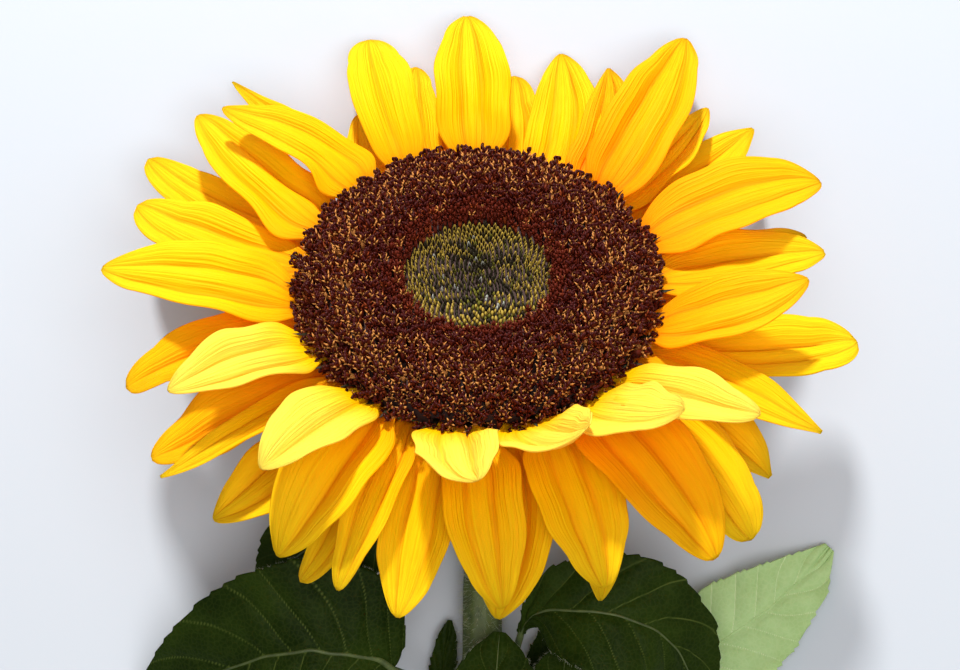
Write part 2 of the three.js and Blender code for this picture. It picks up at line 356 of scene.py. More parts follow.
petal_yellow = petal_finish(
    "petal_yellow", (0.9, 0.28, 0.0), (1.0, 0.65, 0.0), (1.0, 0.76, 0.01), (0.97, 0.74, 1.0)
)
# A shaded copy of the petal tissue, deeper and more orange: painted shade.
petal_golden_painted_shade = petal_finish(
    "petal_golden_painted_shade", (0.9, 0.24, 0.0), (1.0, 0.5, 0.0), (1.0, 0.62, 0.004), (0.96, 0.74, 1.0)
)
# A lit copy of the petal tissue, painted paler: painted light on the front lips.
petal_lemon_painted_light = petal_finish(
    "petal_lemon_painted_light", (1.0, 0.58, 0.0), (1.0, 0.84, 0.07), (1.0, 0.88, 0.1), (1.0, 0.84, 0.5)
)


def from_head_axis(points):
    """How far points are from the axis of the face."""
    offset = points - HEAD_CENTRE
    return np.linalg.norm(offset - np.outer(offset @ FACE_AXIS, FACE_AXIS), axis=1)


def ray_folds(chance):
    """The lengthwise grooves of one ray. Returns how high it arches between them, as a share of half its
    width, and how near a place is to one: 0 in a groove and 1 away from all of them. The nearness sets the
    painted shade in the grooves."""
    count = chance.choice(FOLD_COUNTS)
    grooves = [(-1 - EDGE_LIFT, 0.0)]
    for number in range(1, count):
        place = -1 + 2 * (number + chance.uniform(-0.2, 0.2)) / count
        grooves.append((place, chance.uniform(-0.12, 0.12)))
    grooves.append((1 + EDGE_LIFT, 0.0))
    rise = chance.uniform(*ARCH_RISE)
    rises = [rise * chance.uniform(0.7, 1.3) for _ in range(count)]
    start = chance.uniform(-0.1, 0.12)

    def arches(t, v):
        height = np.zeros_like(v)
        for (left, left_drift), (right, right_drift), rise in zip(grooves, grooves[1:], rises):
            from_place = left + left_drift * (t - 0.5)
            span = right + right_drift * (t - 0.5) - from_place
            share = np.clip((v - from_place) / span, 0, 1)
            height = height + rise * span * (4 * share * (1 - share)) ** 0.75
        return (height - ARCH_SINK) * np.clip((t - start) * 4, 0, 1) * np.clip((1.04 - t) * 6, 0, 1)

    def off_groove(t, v):
        nearest = np.ones_like(v)
        for place, drift in grooves[1:-1]:
            nearest = np.minimum(nearest, np.abs(v - place - drift * (t - 0.5)) / GROOVE_SHADE)
        return nearest

    return arches, off_groove


def ray_relief(arches, chance):
    """The arches, fine ribs, waved edges and curled tip of one ray."""
    fine_count = chance.uniform(8, 11)
    fine_shift = chance.uniform(0, math.tau)
    wave_count = chance.uniform(1.2, 2.6)
    wave_start = chance.uniform(0, math.tau)
    wave_height = chance.uniform(0.0004, 0.0014)
    curl = chance.uniform(-0.03, 0.05)

    def relief(t, v, width, length):
        full = (4 * np.clip(t, 0, 1) * np.clip(1 - t, 0, 1)) ** 0.6
        fine = np.sin(fine_count * v + fine_shift) + 0.6 * np.sin(2.3 * fine_count * v)
        wave = np.sin(math.tau * wave_count * t + wave_start + 1.2 * np.sign(v)) * np.abs(v) ** 3
        tip = np.clip((t - CURL_START) / (1 - CURL_START), 0, 1) ** 2
        return (
            width / 2 * arches(t, v)
            + FINE_RIB * width * full * fine
            + CLAW_CUP * width * v**2 * np.exp(-t / 0.07)
            + wave_height * wave * full
            + curl * length * tip
        )

    return relief


def ray_outline(roundness, foot_spread, chance):
    """How much wider than its solid a ray is: broad just past its claw, unevenly edged, and ending between
    the solid's own point, at a roundness of 0, and a half ellipse, at 1."""
    edge_waves = chance.uniform(2, 4)
    edge_start = chance.uniform(0, math.tau)

    def outline(t, v, width, length):
        shoulder = width[np.abs(t - TIP_START).argmin()]
        past = np.clip((t - TIP_START) / (1 - TIP_START), 0, 1)
        round_end = shoulder * np.sqrt(1 - 0.999 * past**2)
        ended = np.where(past > 0, width * (1 - roundness) + round_end * roundness, width)
        spread = 1 + foot_spread * np.exp(-(((t - SPREAD_PLACE) / SPREAD_LENGTH) ** 2))
        edge_wave = np.sin(math.tau * edge_waves * t + edge_start + 2 * np.sign(v))
        uneven = 1 + EDGE_UNEVEN * edge_wave * np.clip(t * 4, 0, 1)
        return ended / np.maximum(width, 0.00001) * spread * uneven

    return outline


def mark_corners(sheet, name, measure):
    """Stores a number for each corner of a sheet, worked out from its place on its UV map."""
    mesh = sheet.data
    uv = np.empty(len(mesh.loops) * 2)
    mesh.uv_layers["blade"].data.foreach_get("uv", uv)
    corner = np.empty(len(mesh.loops), dtype=int)
    mesh.loops.foreach_get("vertex_index", corner)
    place = np.zeros((len(mesh.vertices), 2))
    place[corner] = uv.reshape(-1, 2)
    marks = measure(place[:, 1], place[:, 0] * 2 - 1)
    mesh.attributes.new(name, "FLOAT", "POINT").data.foreach_set("value", marks)


ray_places = []
ray_nodes = sorted(name for name in frame["nodes"] if name.startswith("ray_"))
for number, node in enumerate(ray_nodes):
    chance = random.Random(100 + number)
    corners, edges = solid_corners(node)
    axis_distance = from_head_axis(corners)
    foot = corners[axis_distance < axis_distance.min() + 0.002].mean(axis=0)
    cuts = cut_blade(corners, edges, foot, FACE_AXIS)
    arches, off_groove = ray_folds(chance)
    roundness = chance.uniform(*USUAL_ROUNDNESS)
    if node in ROUND_ENDED:
        roundness = 0.95
    if node in DRAWN_OUT:
        roundness = 0
    outline = ray_outline(roundness, WIDE_FOOT.get(node, FOOT_SPREAD), chance)
    relief = ray_relief(arches, chance)
    ray = blade_sheet(node + "_floret", cuts, RAY_ACROSS, RAY_ALONG, RAY_SMOOTHING, relief, outline)
    # Stores the nearness to the grooves, which sets the painted shade in them.
    mark_corners(ray, "painted_groove_shade_mask", off_groove)
    ray_places.extend(vertex.co for vertex in ray.data.vertices)
    give_thickness(ray, RAY_THICKNESS)
    # Each ray gets the plain tissue, its lit copy with painted light, or its shaded copy with painted
    # shade.
    tissue = petal_lemon_painted_light if node in LIT_LEMON_RAYS else petal_golden_painted_shade if node in SHADED_GOLDEN_RAYS else petal_yellow
    ray.data.materials.append(tissue)
    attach(ray, "root")
    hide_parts(node)

# ---- Bed of the disc ----
# The disc's florets stand on the domed top of the receptacle, which is dark and hardly shows between
# them. It is one turned solid, a little lower over the closed buds in the middle.
BED_PROFILE = (
    (0, 0.0035),
    (0.014, 0.0042),
    (0.025, 0.0045),
    (0.029, 0.0062),
    (0.044, 0.0068),
    (0.052, 0.0049),
    (0.0582, 0.0006),
    (0.0593, -0.004),
    (0.057, -0.0058),
    (0, -0.0058),
)
TURN_STEPS = 72
BED_TOP = 8  # how many of those points make its upper side
BUD_RADIUS = 0.0262


def on_head(angle, reach, height):
    """A point of the head from its clock angle, its distance from the axis and its height off the face."""
    around = ACROSS_FACE * math.cos(angle) + UP_FACE * math.sin(angle)
    return HEAD_CENTRE + around * reach + FACE_AXIS * height


def turn_profile(name, profile):
    """A closed solid turned about the axis of the face."""
    turned = bmesh.new()
    chain = [turned.verts.new(on_head(0, reach, height)) for reach, height in profile]
    for lower, upper in zip(chain, chain[1:]):
        turned.edges.new((lower, upper))
    bmesh.ops.spin(
        turned,
        geom=turned.verts[:] + turned.edges[:],
        cent=Vector(HEAD_CENTRE),
        axis=Vector(FACE_AXIS),
        angle=math.tau,
        steps=TURN_STEPS,
        use_merge=True,
    )
    bmesh.ops.remove_doubles(turned, verts=turned.verts[:], dist=0.000001)
    bmesh.ops.recalc_face_normals(turned, faces=turned.faces[:])
    return make_piece(name, turned)


bed_brown, _, _ = new_finish("bed_brown", (0.03, 0.007, 0.004), 0.8)
bed = turn_profile("disc_bed", BED_PROFILE)
bed.data.materials.append(bed_brown)
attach(bed, "root")
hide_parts("disc_open_florets")

# ---- Open tube florets ----
# Each is a narrow tube with five small lobes. A dark column of anthers stands out of it, topped by a
# glossy stigma whose two arms curl back. They follow the sunflower's spirals and lean outwards towards
# the rim. They are dealt out as tan, rust or maroon: dark next to the buds, and tan further out.
SPIRAL_STEP = math.radians(137.508)
FLORET_REACH = 0.0599
SPACING_PLACES = (0.0, 0.01, 0.026, 0.032, 0.045, 0.053, FLORET_REACH)
SPACINGS = (0.00135, 0.0016, 0.0019, 0.0023, 0.0027, 0.0024, 0.0017)
TUBE_LENGTH = 0.0062
TUBE_RADIUS = 0.00085
LOBE_LENGTH = 0.0021
LOBE_RADIUS = 0.00056
LOBE_SPREAD = math.radians(34)
ANTHER_LENGTH = 0.0029
ANTHER_RADIUS = 0.00052
ANTHER_SUNK = 0.0004
STIGMA_RADIUS = 0.00043
STIGMA_CURL = 0.0005
STIGMA_TURN = math.radians(235)
STIGMA_SUNK = 0.0004
INNER_RING = 0.032  # florets nearer the buds than this have no stigma yet
LEAN_PLACES = (0.026, 0.035, 0.045, 0.053, 0.0575, FLORET_REACH)
LEAN_DEGREES = (-4, 2, 8, 18, 27, 38)
LEAN_SCATTER = 7
TAN_PLACES = (0.028, 0.036, 0.049, 0.054, 0.06)
TAN_SHARES = (0.02, 0.3, 0.8, 0.65, 0.35)
RUST_PLACES = (0.031, 0.041)
RUST_SHARES = (0.1, 0.45)
SUNK = 0.0004  # how deep its foot stands in the bed


def small_shape(build):
    """A small shape as its corners and its faces, for joining many copies."""
    shape = bmesh.new()
    build(shape)
    shape.verts.index_update()
    corners = np.array([vertex.co for vertex in shape.verts])
    faces = [[vertex.index for vertex in face.verts] for face in shape.faces]
    shape.free()
    return corners, faces


def add_cone(shape, segments, foot_radius, top_radius, length, height=0.0):
    """A closed cone that stands at a height. Returns its corners."""
    cone = bmesh.ops.create_cone(
        shape, cap_ends=True, segments=segments, radius1=foot_radius, radius2=top_radius, depth=length
    )["verts"]
    bmesh.ops.translate(shape, verts=cone, vec=(0, 0, height + length / 2))
    return cone


def build_tube(shape):
    add_cone(shape, 7, TUBE_RADIUS * 0.7, TUBE_RADIUS, TUBE_LENGTH)
    top = max(shape.faces, key=lambda face: face.calc_center_median().z)
    bmesh.ops.inset_individual(shape, faces=[top], thickness=TUBE_RADIUS * 0.25, depth=-TUBE_RADIUS)


def build_lobes(shape):
    for number in range(5):
        lobe = add_cone(shape, 3, LOBE_RADIUS, 0, LOBE_LENGTH)
        bmesh.ops.rotate(shape, verts=lobe, matrix=Matrix.Rotation(LOBE_SPREAD, 3, "Y"))
        bmesh.ops.translate(shape, verts=lobe, vec=(TUBE_RADIUS * 0.75, 0, TUBE_LENGTH - 0.0002))
        bmesh.ops.rotate(shape, verts=lobe, matrix=Matrix.Rotation(math.tau * number / 5, 3, "Z"))
    bmesh.ops.remove_doubles(shape, verts=shape.verts[:], dist=0.0000001)


def build_anthers(shape):
    add_cone(shape, 6, ANTHER_RADIUS, ANTHER_RADIUS * 0.85, ANTHER_LENGTH, TUBE_LENGTH - ANTHER_SUNK)


def build_stigma(shape):
    bmesh.ops.create_circle(shape, cap_ends=False, segments=5, radius=STIGMA_RADIUS)
    bmesh.ops.spin(
        shape,
        geom=shape.verts[:] + shape.edges[:],
        cent=(STIGMA_CURL, 0, 0),
        axis=(0, 1, 0),
        angle=STIGMA_TURN,
        steps=4,
        use_merge=False,
    )
    bmesh.ops.holes_fill(shape, edges=[edge for edge in shape.edges if edge.is_boundary], sides=5)
    other = bmesh.ops.duplicate(shape, geom=shape.verts[:] + shape.edges[:] + shape.faces[:])
    other_arm = [part for part in other["geom"] if isinstance(part, bmesh.types.BMVert)]
    stigma_foot = TUBE_LENGTH - ANTHER_SUNK + ANTHER_LENGTH - STIGMA_SUNK
    bmesh.ops.rotate(shape, verts=other_arm, cent=(0, 0, 0), matrix=Matrix.Rotation(math.pi, 3, "Z"))
    bmesh.ops.translate(shape, verts=shape.verts[:], vec=(0, 0, stigma_foot))
    bmesh.ops.recalc_face_normals(shape, faces=shape.faces[:])


def join_copies(name, build, places, finish, smooth=True):
    """One piece of many copies of a small shape, each at its place: a 3 by 3 turn and size, and a foot."""
    corners, faces = small_shape(build)
    turns = np.array([turn for turn, _ in places])
    feet = np.array([foot for _, foot in places])
    spread = np.einsum("nij,kj->nki", turns, corners) + feet[:, None, :]
    sizes = np.array([len(face) for face in faces])
    flat = np.concatenate([np.array(face) for face in faces])
    loops = (flat[None, :] + (np.arange(len(places)) * len(corners))[:, None]).ravel()
    mesh = bpy.data.meshes.new(name)
    mesh.vertices.add(spread.shape[0] * spread.shape[1])
    mesh.vertices.foreach_set("co", spread.ravel())
    mesh.loops.add(len(loops))
    mesh.loops.foreach_set("vertex_index", loops)
    all_sizes = np.tile(sizes, len(places))
    mesh.polygons.add(len(all_sizes))
    mesh.polygons.foreach_set("loop_start", np.concatenate([[0], np.cumsum(all_sizes)[:-1]]))
    mesh.update(calc_edges=True)
    if smooth:
        mesh.shade_smooth()
    piece = bpy.data.objects.new(name, mesh)
    bpy.context.collection.objects.link(piece)
    piece.data.materials.append(finish)
    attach(piece, "root")
    return piece


def stand_on_head(angle, reach, height, lean, turn, size):
    """The place of a small upright shape on the head, leaning outwards, turned about itself and sized."""
    outwards = ACROSS_FACE * math.cos(angle) + UP_FACE * math.sin(angle)
    along = np.cross(FACE_AXIS, outwards)
    upright = FACE_AXIS * math.cos(lean) + outwards * math.sin(lean)
    across = np.cross(along, upright)
    first = across * math.cos(turn) + along * math.sin(turn)
    second = np.cross(upright, first)
    return np.column_stack([first, second, upright]) * size, on_head(angle, reach, height)


def floret_kind(chance, tan_end, rust_end):
    """One of the three colours, by a draw from 0 to 1: tan up to tan_end, then rust up to rust_end."""
    draw = chance.random()
    return "tan" if draw < tan_end else "rust" if draw < rust_end else "maroon"


bed_reaches = [reach for reach, _ in BED_PROFILE[:BED_TOP]]
bed_heights = [height for _, height in BED_PROFILE[:BED_TOP]]
tube_places = {"tan": [], "rust": [], "maroon": []}
lobe_places = {"tan": [], "rust": [], "maroon": []}
anther_places = []
stigma_places = []
bud_places = []
chance = random.Random(7)
rings = np.linspace(0, FLORET_REACH, 400)
ring_spacing = np.interp(rings, SPACING_PLACES, SPACINGS)
florets_within = np.cumsum(math.tau * rings * rings[1] / (ring_spacing**2 * math.sqrt(0.75)))
for number in range(int(florets_within[-1])):
    reach = float(np.interp(number + 0.5, florets_within, rings))
    angle = number * SPIRAL_STEP
    height = float(np.interp(reach, bed_reaches, bed_heights)) - SUNK
    if reach < BUD_RADIUS:
        bud_places.append((angle, reach, height))
        continue
    lean = float(np.interp(reach, LEAN_PLACES, LEAN_DEGREES)) + chance.gauss(0, LEAN_SCATTER)
    uneven = float(np.interp(reach, (0.05, 0.058), (0.15, 0.27)))
    size = chance.uniform(1 - uneven, 1 + uneven) * float(np.interp(reach, (0.026, 0.036), (0.8, 1)))
    turn = chance.uniform(0, math.tau)
    place = stand_on_head(angle, reach, height, math.radians(lean), turn, size)
    tan_share = float(np.interp(reach, TAN_PLACES, TAN_SHARES))
    rust_share = float(np.interp(reach, RUST_PLACES, RUST_SHARES))
    tube_places[floret_kind(chance, 0.3 * tan_share, rust_share)].append(place)
    lobe_places[floret_kind(chance, tan_share, tan_share + rust_share / 2)].append(place)
    anther_places.append(place)
    if reach > INNER_RING:
        stigma_places.append(place)


def dark_finish(name, colour, roughness):
    """A finish with very little shine."""
    finish, _, shader = new_finish(name, colour, roughness)
    shader.inputs["Specular IOR Level"].default_value = 0.07
    return finish


floret_colours = {"tan": (0.5, 0.2, 0.05), "rust": (0.18, 0.03, 0.006), "maroon": (0.08, 0.009, 0.003)}
for kind, colour in floret_colours.items():
    finish = dark_finish("floret_" + kind, colour, 0.5)
    join_copies("floret_tubes_" + kind, build_tube, tube_places[kind], finish)
    join_copies("floret_lobes_" + kind, build_lobes, lobe_places[kind], finish)
anther_maroon = dark_finish("anther_maroon", (0.09, 0.011, 0.004), 0.35)
join_copies("floret_anthers", build_anthers, anther_places, anther_maroon)
stigma_brown = dark_finish("stigma_brown", (0.04, 0.005, 0.004), 0.25)
join_copies("floret_stigmas", build_stigma, stigma_places, stigma_brown)

# ---- Closed buds ----
# The middle of the disc is still in bud, in the same spirals. Each bud is a small dark dome, and a paler
# pointed scale is wrapped round its outer side. It is grey in the middle, then olive, then ochre, and a few
# grey scales are painted pale as glints: painted highlights.
BUD_HEIGHT = 0.0024
BUD_WIDTH = 0.00092
WRAP_HEIGHT = 0.0034
WRAP_THICKNESS = 0.00022
WRAP_TURN = math.radians(210)
WRAP_STEPS = 7
# A share of the grey scales painted pale as glints: painted highlights.
PAINTED_GLINT_SHARE = 0.08  # of the grey ones
OCHRE_PLACES = (0.007, 0.014, 0.023)
OCHRE_SHARES = (0.03, 0.4, 0.92)
SIZE_PLACES = (0, 0.01, 0.026)
SIZES = (0.72, 0.84, 1.02)


def build_bud(shape):
    bmesh.ops.create_uvsphere(shape, u_segments=6, v_segments=5, radius=0.5)
    bmesh.ops.scale(shape, verts=shape.verts[:], vec=(BUD_WIDTH, BUD_WIDTH, BUD_HEIGHT))
    bmesh.ops.translate(shape, verts=shape.verts[:], vec=(0, 0, BUD_HEIGHT / 2))


def build_wrap(shape):
    inside = BUD_WIDTH / 2
    outside = inside + WRAP_THICKNESS
    corners = ((inside, 0), (outside, 0), (outside, WRAP_HEIGHT), (inside, WRAP_HEIGHT))
    section = shape.faces.new([shape.verts.new((reach, 0, height)) for reach, height in corners])
    bmesh.ops.rotate(shape, verts=shape.verts[:], matrix=Matrix.Rotation(-WRAP_TURN / 2, 3, "Z"))
    bmesh.ops.spin(
        shape,
        geom=[section],
        cent=(0, 0, 0),
        axis=(0, 0, 1),
        angle=WRAP_TURN,
        steps=WRAP_STEPS,
        use_merge=False,
    )
    doubled = [face for face in shape.faces if face == section]
    bmesh.ops.delete(shape, geom=doubled, context="FACES_KEEP_BOUNDARY")
    bmesh.ops.holes_fill(shape, edges=[edge for edge in shape.edges if edge.is_boundary], sides=4)
    for vertex in shape.verts:
        if vertex.co.z > 0:
            middle = max(0, vertex.co.x / outside)
            vertex.co.z *= 0.62 + 0.38 * middle**1.5
            vertex.co.x -= BUD_WIDTH * 0.42 * middle
            vertex.co.y *= 0.8
    bmesh.ops.recalc_face_normals(shape, faces=shape.faces[:])


wrap_colours = {
    "ochre": (0.39, 0.27, 0.045),
    "olive": (0.13, 0.118, 0.016),
    "grey": (0.03, 0.026, 0.014),
    # painted highlight: the pale glints on a few grey scales
    "painted_glint": (0.32, 0.32, 0.27),
}
chance = random.Random(11)
wrap_places = {kind: [] for kind in wrap_colours}
for angle, reach, height in bud_places:
    ochre_share = float(np.interp(reach, OCHRE_PLACES, OCHRE_SHARES))
    draw = chance.random()
    kind = "ochre" if draw < ochre_share else "olive" if draw < 0.3 + 0.7 * ochre_share else "grey"
    # A few grey scales become painted highlights: pale glints.
    if kind == "grey" and chance.random() < PAINTED_GLINT_SHARE:
        kind = "painted_glint"
    size = chance.uniform(0.9, 1.1) * float(np.interp(reach, SIZE_PLACES, SIZES))
    place = stand_on_head(angle, reach, height, chance.gauss(0, 0.1), chance.gauss(0, 0.35), size)
    wrap_places[kind].append(place)
bud_dark = dark_finish("bud_dark", (0.018, 0.012, 0.005), 0.4)
all_places = sum(wrap_places.values(), [])
buds = join_copies("closed_buds", build_bud, all_places, bud_dark)
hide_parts("disc_closed_buds")
for kind, colour in wrap_colours.items():
    finish = dark_finish("bud_wrap_" + kind, colour, 0.4)
    join_copies("closed_bud_wraps_" + kind, build_wrap, wrap_places[kind], finish)

# ---- Scales round the disc ----
# A few dark pointed scales of dry chaff stand out between the outermost florets and the rays. Each is a
# flattened cone with its foot at the edge of the bed, and it leans outwards over the rays.
SCALE_COUNT = 34
SCALE_LENGTH = 0.0095
SCALE_WIDTH = 0.0016
SCALE_PLACE = (0.0598, 0.0002)  # its foot's distance from the axis, and its height


def build_scale(shape):
    add_cone(shape, 8, 1, 0.02, 1)
    bmesh.ops.scale(shape, verts=shape.verts[:], vec=(SCALE_WIDTH * 0.3, SCALE_WIDTH, SCALE_LENGTH))


chance = random.Random(13)
scale_places = []
for number in range(SCALE_COUNT):
    angle = math.tau * (number + chance.uniform(-0.3, 0.3)) / SCALE_COUNT
    lean = math.radians(chance.uniform(62, 78))
    scale_places.append(stand_on_head(angle, *SCALE_PLACE, lean, 0, chance.uniform(0.7, 1.15)))
scale_dark = dark_finish("scale_dark", (0.022, 0.018, 0.008), 0.5)
join_copies("disc_edge_scales", build_scale, scale_places, scale_dark)

# ---- Receptacle ----
# The green, fleshy back of the head, which the rays and the bracts are joined to. It is one solid
# turned about the axis of the face, from its rim down to the neck, and closes the head behind.
BACK_PROFILE = (
    (0, -0.0063),
    (0.0565, -0.0063),
    (0.058, -0.0088),
    (0.0565, -0.0128),
    (0.052, -0.0165),
    (0.042, -0.0203),
    (0.03, -0.0232),
    (0.019, -0.0252),
    (0.013, -0.0262),
    (0, -0.0262),
)


def mottled_finish(name, scale, dark, light):
    """Green skin, mottled between two tones."""
    material, tree, shader = new_finish(name, light, 0.6)
    place = add_node(tree, "TexCoord").outputs["Object"]
    mottle = add_node(tree, "TexNoise", {"Vector": place, "Scale": scale, "Detail": 3.0}).outputs["Fac"]
    colour = add_ramp(tree, mottle, [(0.3, dark), (0.7, light)])
    tree.links.new(colour, shader.inputs["Base Color"])
    return material


bract_green = mottled_finish("bract_green", 160.0, (0.06, 0.13, 0.03), (0.17, 0.28, 0.06))
back = turn_profile("receptacle_back", BACK_PROFILE)
back.data.materials.append(bract_green)
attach(back, "root")
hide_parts("receptacle_and_bracts")

# ---- Bracts ----
# Three rows of green bracts overlap on the receptacle behind the rays. Each is a pointed scale with a
# drawn-out tip, and the outer ones bend back.
BRACT_ROWS = (
    # how many, the foot's distance from the axis and its height, length, width, first and last rise
    (23, 0.0535, -0.0138, 0.033, 0.014, 0, -16),
    (19, 0.047, -0.017, 0.038, 0.015, -6, -34),
    (17, 0.038, -0.0212, 0.036, 0.014, -18, -58),
)
BRACT_STEPS = 40
BRACT_THICKNESS = 0.0006
UNDER_RAYS = 0.002  # the gap between a bract and the rays over it
BRACT_FLOOR_GAP = 0.0008

ray_offset = np.array(ray_places) - HEAD_CENTRE
ray_height = ray_offset @ FACE_AXIS
ray_reach = from_head_axis(np.array(ray_places))
ray_angle = np.arctan2(ray_offset @ UP_FACE, ray_offset @ ACROSS_FACE)


def height_under_rays(angle, reach, half_width):
    """How high a bract can lie at each distance from the axis without touching a ray."""
    turn = np.abs((ray_angle - angle + math.pi) % math.tau - math.pi)
    aside = turn * ray_reach < half_width + UNDER_RAYS
    heights = []
    for place in reach:
        near = aside & (np.abs(ray_reach - place) < 0.004)
        heights.append(ray_height[near].min() - UNDER_RAYS if near.any() else 1.0)
    return np.array(heights)


def bract_places(flat, foot_reach, foot_height, length, width, rises, angle, sway):
    """Places for a flat sheet's corners, x across the bract and y along it, both from -1 to 1."""
    v, t = flat[:, 0], (flat[:, 1] + 1) / 2
    steps = np.linspace(0, 1, BRACT_STEPS)
    slope = np.radians(rises[0] + (rises[1] - rises[0]) * steps**1.3)
    reach = foot_reach + np.concatenate([[0], np.cumsum(np.cos(slope))[:-1]]) * length / BRACT_STEPS
    height = foot_height + np.concatenate([[0], np.cumsum(np.sin(slope))[:-1]]) * length / BRACT_STEPS
    pressed = np.maximum(0, height - height_under_rays(angle, reach, width / 2))
    height = height - even_out(np.maximum.accumulate(pressed), BRACT_STEPS, 0.05)
    pointed = np.maximum(0.02, (1 - t) ** 1.5 * (1 + 2.2 * t))
    half_width = width / 2 * pointed * (1 - 0.3 * np.exp(-t * 12))
    along = np.interp(t, steps, reach)
    rise = np.interp(t, steps, height) - 0.0018 * v**2 * (1 - t) - 0.0004 * np.exp(-((v / 0.15) ** 2))
    outwards = ACROSS_FACE * math.cos(angle) + UP_FACE * math.sin(angle)
    sideways = -ACROSS_FACE * math.sin(angle) + UP_FACE * math.cos(angle)
    places = (
        HEAD_CENTRE
        + along[:, None] * outwards
        + (v * half_width + sway * t**2 * length)[:, None] * sideways
        + rise[:, None] * FACE_AXIS
    )
    places[:, 2] = np.maximum(places[:, 2], BRACT_FLOOR_GAP)
    return places


chance = random.Random(19)
for row, sizes in enumerate(BRACT_ROWS):
    count, foot_reach, foot_height, length, width, first_rise, last_rise = sizes
    scales = bmesh.new()
    for number in range(count):
        angle = math.tau * (number + 0.33 * row + chance.uniform(-0.15, 0.15)) / count
        rises = (first_rise + chance.gauss(0, 4), last_rise + chance.gauss(0, 9))
        grid = bmesh.ops.create_grid(scales, x_segments=8, y_segments=26, size=1)["verts"]
        flat = np.array([vertex.co for vertex in grid])
        long = length * chance.uniform(0.88, 1.15)
        sway = chance.gauss(0, 0.03)
        places = bract_places(flat, foot_reach, foot_height, long, width, rises, angle, sway)
        place_corners(grid, places)
    bracts = make_piece(f"bracts_row_{row + 1}", scales)
    give_thickness(bracts, BRACT_THICKNESS)
    bracts.data.materials.append(bract_green)
    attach(bracts, "root")

# ---- Neck and stem ----
# One fleshy green stem, ribbed lengthwise and cut straight across at its foot, where the pale pith
# shows. Its thickness and its bend are measured on the two solids that it stands for.
STEM_AROUND = 60
STEM_ALONG = 150
IN_HEAD = 0.002  # how far the neck runs on into the head
stem_green = mottled_finish("stem_green", 220.0, (0.035, 0.055, 0.01), (0.09, 0.12, 0.025))


def solid_end(node, way):
    """The middle and the radius of the flat end of a limb, on the side that way points to."""
    corners, _ = solid_corners(node)
    along = corners @ way
    ring = corners[along > along.max() - 0.0003]
    middle = (ring.min(axis=0) + ring.max(axis=0)) / 2
    return middle, np.linalg.norm(ring - middle, axis=1).max()


neck_top, neck_top_radius = solid_end("neck", FACE_AXIS)
neck_cuts = cut_blade(*solid_corners("neck"), neck_top, ACROSS_FACE)
stem_top, stem_top_radius = solid_end("stem", np.array((0, 1.0, 0)))
stem_foot, stem_foot_radius = solid_end("stem", np.array((0, -1.0, 0)))
stem_steps = int(np.linalg.norm(stem_top - stem_foot) / CUT_STEP)
limb_spine = np.concatenate(
    [[neck_top + FACE_AXIS * IN_HEAD], neck_cuts[0], np.linspace(stem_top, stem_foot, stem_steps)]
)
limb_radius = np.concatenate(
    [
        [neck_top_radius * 1.1],
        np.linalg.norm(neck_cuts[1], axis=1),
        np.linspace(stem_top_radius, stem_foot_radius, stem_steps),
    ]
)
limb_spine = even_out(limb_spine, STEM_ALONG + 1, 0.012)
limb_radius = even_out(limb_radius, STEM_ALONG + 1, 0.02)


def ways_along(spine):
    """The way along a spine at each of its points."""
    along = np.gradient(spine, axis=0)
    return along / np.linalg.norm(along, axis=1)[:, None]


def tube_along(name, spine, radius, first, second, sides):
    """A tube along a spine, closed at both ends. first and second are two ways out of it at each of its
    points, and radius(row, around) is its radius there, around being the angle from first to second."""
    tube = bmesh.new()
    bmesh.ops.create_grid(tube, x_segments=sides, y_segments=len(spine) - 1, size=1)
    flat = np.array([vertex.co for vertex in tube.verts])
    around = (flat[:, 0] + 1) * math.pi
    row = np.rint((flat[:, 1] + 1) / 2 * (len(spine) - 1)).astype(int)
    outward = first[row] * np.cos(around)[:, None] + second[row] * np.sin(around)[:, None]
    place_corners(tube.verts, spine[row] + outward * radius(row, around)[:, None])
    bmesh.ops.remove_doubles(tube, verts=tube.verts[:], dist=0.00001)
    bmesh.ops.holes_fill(tube, edges=[edge for edge in tube.edges if edge.is_boundary], sides=0)
    bmesh.ops.recalc_face_normals(tube, faces=tube.faces[:])
    return make_piece(name, tube)


def ribbed_radius(row, around):
    """The stem's radius, with nine low ribs and five uneven ones that wind slowly round it."""
    ribs = 0.022 * np.cos(9 * around) + 0.012 * np.cos(5 * around + 2 + row * 0.02)
    return limb_radius[row] * (0.97 + ribs)


limb_along = ways_along(limb_spine)
limb_side = np.tile(ACROSS_FACE, (len(limb_spine), 1))
limb_upper = np.cross(limb_side, limb_along)
limb_upper /= np.linalg.norm(limb_upper, axis=1)[:, None]
stem = tube_along("stem_and_neck", limb_spine, ribbed_radius, limb_side, limb_upper, STEM_AROUND)
faces = stem.data.polygons
faces.foreach_set("use_smooth", [len(face.vertices) == 4 for face in faces])
min(faces, key=lambda face: face.center.y).material_index = 1
pith_pale, _, _ = new_finish("pith_pale", (0.55, 0.6, 0.35), 0.7)
stem.data.materials.append(stem_green)
stem.data.materials.append(pith_pale)
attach(stem, "root")
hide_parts("neck", "stem")

# ---- Stem hairs ----
# The stem and the neck are covered in stiff pale hairs, each a fine spike that stands off the skin and
# leans a little towards the cut end.
HAIR_LENGTH = 0.0034
HAIR_RADIUS = 0.00006
STEM_HAIRS = 5200
RING_STEP = 0.0015  # about how far apart two rings of the stem are
HAIR_FLOOR_GAP = 0.0003


def build_hair(shape):
    add_cone(shape, 3, HAIR_RADIUS, 0, HAIR_LENGTH)
    bmesh.ops.remove_doubles(shape, verts=shape.verts[:], dist=0.000001)


def point_along(direction, size):
    """A turn that stands a small upright shape along direction."""
    turn = Vector(direction).to_track_quat("Z", "Y").to_matrix()
    return np.array(turn) * size


